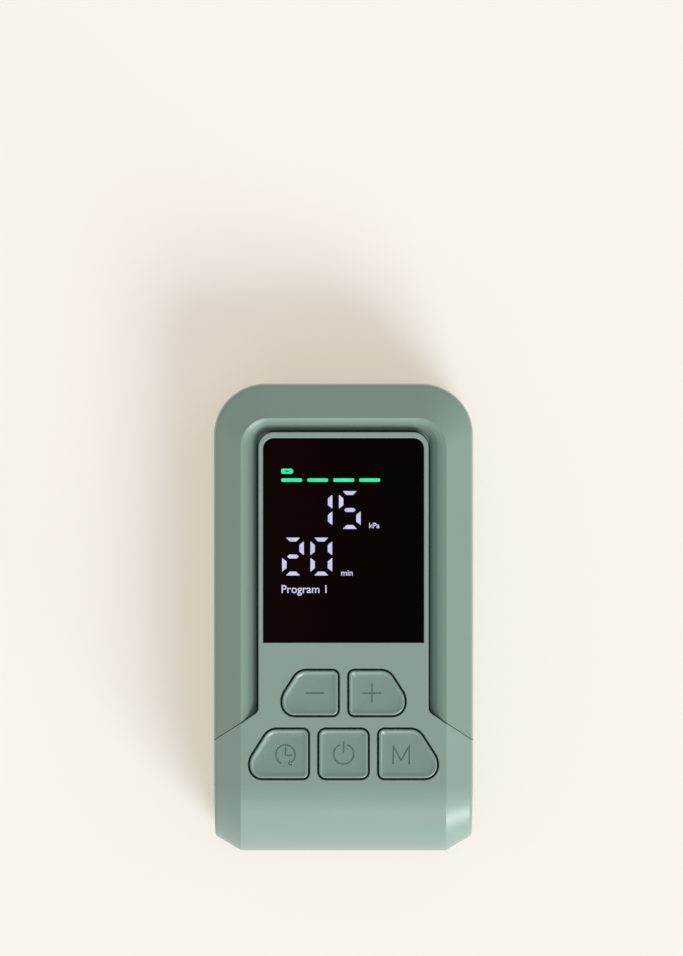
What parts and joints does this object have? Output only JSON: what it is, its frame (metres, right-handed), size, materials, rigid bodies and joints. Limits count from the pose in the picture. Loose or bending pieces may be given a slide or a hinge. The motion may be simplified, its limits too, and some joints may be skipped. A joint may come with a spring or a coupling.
{
  "type": "compression therapy pump",
  "caption": "Hand-held air pump for leg compression wraps, with a dark display window, dished keys and hose sockets on a grey-green casing.",
  "frame": {"origin": "middle of the casing's footprint, on the plane the feet stand on", "axes": "+Z out of the face, +Y towards the display end and the hose sockets, +X to the right seen from the face"},
  "size_m": [0.1, 0.18, 0.0523],
  "materials": {
    "case_green": "fine satin moulded plastic, grey green",
    "key_green": "satin moulded plastic, grey green",
    "lens_black": "dark tinted, polished",
    "white_plastic": "plain moulded",
    "dark_plastic": "plain moulded",
    "film_white": "milky film",
    "board_green": "solder resist",
    "chip_black": "moulded package",
    "steel": "plain zinc plated",
    "copper": "enamelled winding",
    "cell_blue": "heat-shrunk sleeve",
    "rubber_dark": "matt rubber",
    "silicone": "translucent silicone",
    "pump_white": "plain moulded"
  },
  "bodies": {
    "housing": {"front_frame": "case_green", "front_panel": "case_green", "rear_shell": "case_green", "display_lens": "lens_black", "display_module": "white_plastic", "diffuser_film": "film_white", "main_board": "board_green", "key_switches": "chip_black", "board_screws": "steel", "board_parts": "chip_black", "buzzer": "chip_black", "battery_cells": "cell_blue", "battery_tabs": "steel", "battery_tray": "dark_plastic", "motor_can": "steel", "motor_magnets": "dark_plastic", "pump_housing": "pump_white", "wobble_plate": "pump_white", "pump_diaphragm": "rubber_dark", "pump_cover": "pump_white", "pump_screws": "steel", "pump_mounts": "rubber_dark", "manifold": "pump_white", "valve_frames": "steel", "valve_coils": "copper", "left_socket": "dark_plastic", "right_socket": "dark_plastic", "air_tubes": "silicone", "pump_tube": "silicone", "pressure_sensor": "chip_black", "charge_board": "board_green", "usb_port": "steel", "case_screws": "steel", "feet": "rubber_dark"},
    "minus_button": {"minus_button": "key_green"},
    "plus_button": {"plus_button": "key_green"},
    "timer_button": {"timer_button": "key_green"},
    "power_button": {"power_button": "key_green"},
    "mode_button": {"mode_button": "key_green"},
    "motor_rotor": {"motor_rotor": "steel"},
    "valve_plunger_1": {"valve_plunger_1": "steel"},
    "valve_plunger_2": {"valve_plunger_2": "steel"},
    "valve_plunger_3": {"valve_plunger_3": "steel"},
    "valve_plunger_4": {"valve_plunger_4": "steel"}
  },
  "joints": [
    {"name": "minus_press", "type": "slide", "parent": "housing", "child": "minus_button", "axis": [0, 0, -1], "range_m": [0, 0.001], "stiffness_N_per_m": 600},
    {"name": "plus_press", "type": "slide", "parent": "housing", "child": "plus_button", "axis": [0, 0, -1], "range_m": [0, 0.001], "stiffness_N_per_m": 600},
    {"name": "timer_press", "type": "slide", "parent": "housing", "child": "timer_button", "axis": [0, 0, -1], "range_m": [0, 0.001], "stiffness_N_per_m": 600},
    {"name": "power_press", "type": "slide", "parent": "housing", "child": "power_button", "axis": [0, 0, -1], "range_m": [0, 0.001], "stiffness_N_per_m": 600},
    {"name": "mode_press", "type": "slide", "parent": "housing", "child": "mode_button", "axis": [0, 0, -1], "range_m": [0, 0.001], "stiffness_N_per_m": 600},
    {"name": "motor_turn", "type": "hinge", "parent": "housing", "child": "motor_rotor", "pos_m": [0.022, -0.04, 0.0192], "axis": [0, 1, 0], "continuous": true},
    {"name": "valve_1_lift", "type": "slide", "parent": "housing", "child": "valve_plunger_1", "axis": [0, -1, 0], "range_m": [0, 0.0012], "stiffness_N_per_m": 150},
    {"name": "valve_2_lift", "type": "slide", "parent": "housing", "child": "valve_plunger_2", "axis": [0, -1, 0], "range_m": [0, 0.0012], "stiffness_N_per_m": 150},
    {"name": "valve_3_lift", "type": "slide", "parent": "housing", "child": "valve_plunger_3", "axis": [0, -1, 0], "range_m": [0, 0.0012], "stiffness_N_per_m": 150},
    {"name": "valve_4_lift", "type": "slide", "parent": "housing", "child": "valve_plunger_4", "axis": [0, -1, 0], "range_m": [0, 0.0012], "stiffness_N_per_m": 150}
  ]
}
